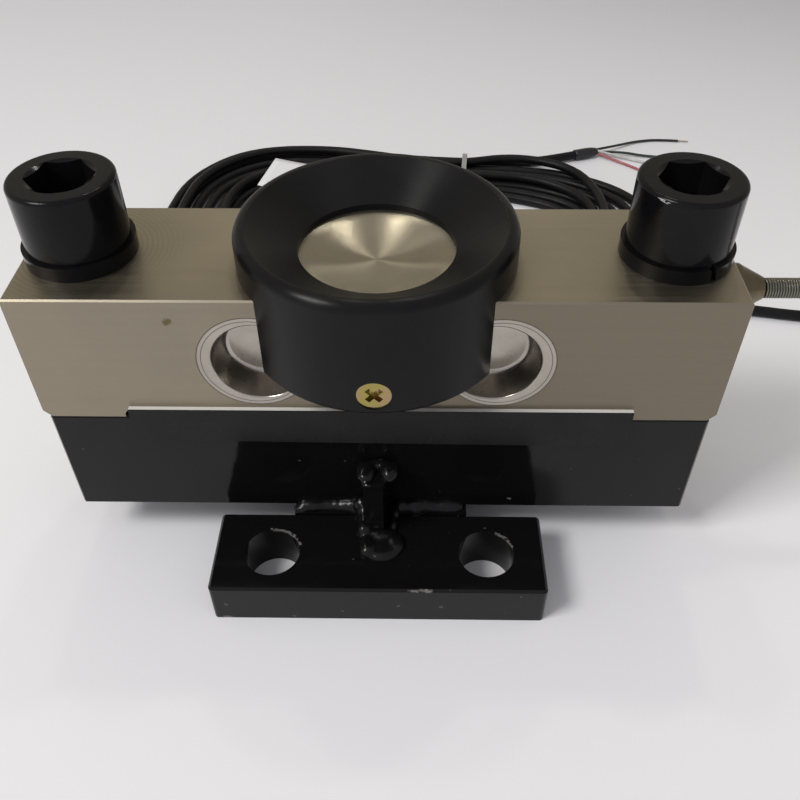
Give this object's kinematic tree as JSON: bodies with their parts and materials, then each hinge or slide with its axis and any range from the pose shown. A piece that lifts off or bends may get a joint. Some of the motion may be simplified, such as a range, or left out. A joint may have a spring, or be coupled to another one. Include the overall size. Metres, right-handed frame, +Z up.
{
  "type": "double ended beam load cell",
  "caption": "Double ended shear beam load cell bolted on a black block base, with a funnelled sleeve round its ball seat, anchor feet and a coiled signal cable.",
  "frame": {"origin": "on the floor, under the middle of the beam and of its base", "axes": "+X along the beam towards the cable outlet, +Y to the rear, +Z up"},
  "size_m": [0.3688, 0.3319, 0.127],
  "materials": {
    "nickel_plate": "satin nickel plate with fine grinding marks",
    "sleeve_black": "satin black",
    "base_paint": "gloss black",
    "weld_paint": "gloss black over weld metal",
    "black_oxide": "oiled black oxide",
    "yellow_zinc": "yellow passivated zinc",
    "cup_steel": "drawn steel, satin",
    "strip_black": "satin laminate",
    "gland_plate": "turned, nickel plated",
    "spring_steel": "bright wire",
    "seal_rubber": "matt",
    "cable_jacket": "satin",
    "shrink_sleeve": "satin",
    "tie_nylon": "translucent white",
    "tag_paper": "plain paper",
    "core_black": "satin",
    "core_green": "satin",
    "core_white": "satin",
    "core_red": "satin",
    "gauge_film": "amber film with metal foil",
    "board_laminate": "green laminate"
  },
  "bodies": {
    "root": {"base_block": "base_paint", "beam": "nickel_plate", "bridge_board": "board_laminate", "cable": "cable_jacket", "cable_coil": "cable_jacket", "cable_entry": "cable_jacket", "cable_tail": "cable_jacket", "cable_tie": "tie_nylon", "end_sleeve": "shrink_sleeve", "front_foot_bar": "base_paint", "front_head_weld": "weld_paint", "front_left_cup": "cup_steel", "front_left_gauge": "gauge_film", "front_rib": "base_paint", "front_right_cup": "cup_steel", "front_right_gauge": "gauge_film", "front_seam_weld": "weld_paint", "front_sleeve_screw": "yellow_zinc", "front_toe_weld": "weld_paint", "gland_body": "gland_plate", "gland_nut": "gland_plate", "gland_seal": "seal_rubber", "lead_black": "core_black", "lead_green": "core_green", "lead_red": "core_red", "lead_white": "core_white", "left_cap_screw": "black_oxide", "left_cores": "core_white", "left_link_wires": "core_white", "left_spring_washer": "black_oxide", "name_strip": "strip_black", "outlet_cores": "core_white", "paper_tag": "tag_paper", "rear_foot_bar": "base_paint", "rear_head_weld": "weld_paint", "rear_left_cup": "cup_steel", "rear_left_gauge": "gauge_film", "rear_rib": "base_paint", "rear_right_cup": "cup_steel", "rear_right_gauge": "gauge_film", "rear_seam_weld": "weld_paint", "rear_sleeve_screw": "yellow_zinc", "rear_toe_weld": "weld_paint", "right_cap_screw": "black_oxide", "right_link_wires": "core_white", "right_spring_washer": "black_oxide", "sleeve": "sleeve_black", "spring_guard": "spring_steel", "web_plate": "base_paint"}
  },
  "joints": []
}
